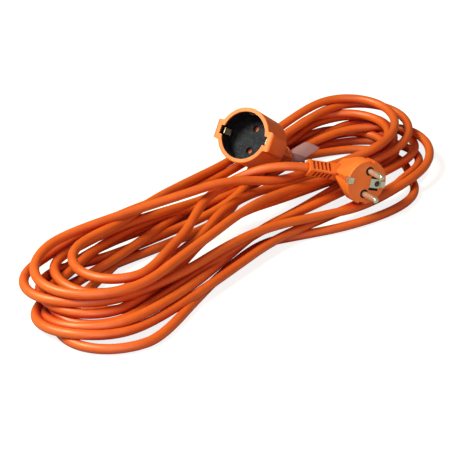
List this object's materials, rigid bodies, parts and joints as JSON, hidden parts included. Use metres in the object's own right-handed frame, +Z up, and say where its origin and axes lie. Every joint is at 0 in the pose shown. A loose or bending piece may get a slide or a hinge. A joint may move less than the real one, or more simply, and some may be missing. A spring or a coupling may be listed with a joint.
{
  "type": "extension cord",
  "caption": "Orange earthed extension cord: angled round-pin plug, coupler socket with shutter, and a round flexible cord wound in a long loose hank.",
  "frame": {"origin": "on the ground under the middle of the whole", "axes": "+X along the hank, +Z up"},
  "size_m": [0.4473, 0.1509, 0.0828],
  "materials": {
    "cord_jacket": "satin soft PVC, orange",
    "moulding": "satin moulded PVC, orange",
    "black_insert": "finely grained black thermoplastic",
    "nickel": "bright nickel plate",
    "brass": "drawn brass",
    "shutter_red": "smooth red-orange plastic",
    "spring_steel": "drawn wire",
    "brown_core": "smooth PVC, brown",
    "blue_core": "smooth PVC, blue",
    "earth_core": "smooth PVC, green and yellow",
    "label_film": "thin translucent film"
  },
  "bodies": {
    "cord_set": {"cord_hank": "cord_jacket", "plug_lead": "cord_jacket", "socket_lead": "cord_jacket", "plug_body": "moulding", "socket_shell": "moulding", "plug_pin_carrier": "black_insert", "socket_insert": "black_insert", "socket_contact_block": "black_insert", "plug_line_pin": "nickel", "plug_neutral_pin": "nickel", "plug_earth_strip": "nickel", "plug_earth_receptacle": "nickel", "socket_line_contact": "brass", "socket_neutral_contact": "brass", "socket_earth_bridge": "brass", "plug_line_crimp": "brass", "plug_neutral_crimp": "brass", "plug_earth_crimp": "brass", "socket_line_crimp": "brass", "socket_neutral_crimp": "brass", "socket_earth_crimp": "brass", "plug_line_core": "brown_core", "plug_neutral_core": "blue_core", "plug_earth_core": "earth_core", "socket_line_core": "brown_core", "socket_neutral_core": "blue_core", "socket_earth_core": "earth_core", "shutter_spring": "spring_steel", "label_tag": "label_film"},
    "shutter": {"shutter": "shutter_red"},
    "earth_spring_arm_left": {"earth_spring_arm_left": "brass"},
    "earth_spring_arm_right": {"earth_spring_arm_right": "brass"}
  },
  "joints": [
    {"name": "shutter_turn", "type": "hinge", "parent": "cord_set", "child": "shutter", "pos_m": [0.0494, 0.04148, 0.05174], "axis": [-0.8184, -0.1325, 0.5592], "range_deg": [0, 42], "stiffness_Nm_per_rad": 0.002},
    {"name": "earth_arm_left_flex", "type": "hinge", "parent": "cord_set", "child": "earth_spring_arm_left", "pos_m": [0.05941, 0.02244, 0.04712], "axis": [0.552, 0.0894, 0.829], "range_deg": [0, 3], "stiffness_Nm_per_rad": 1},
    {"name": "earth_arm_right_flex", "type": "hinge", "parent": "cord_set", "child": "earth_spring_arm_right", "pos_m": [0.05289, 0.06271, 0.04712], "axis": [-0.552, -0.0894, -0.829], "range_deg": [0, 3], "stiffness_Nm_per_rad": 1}
  ]
}
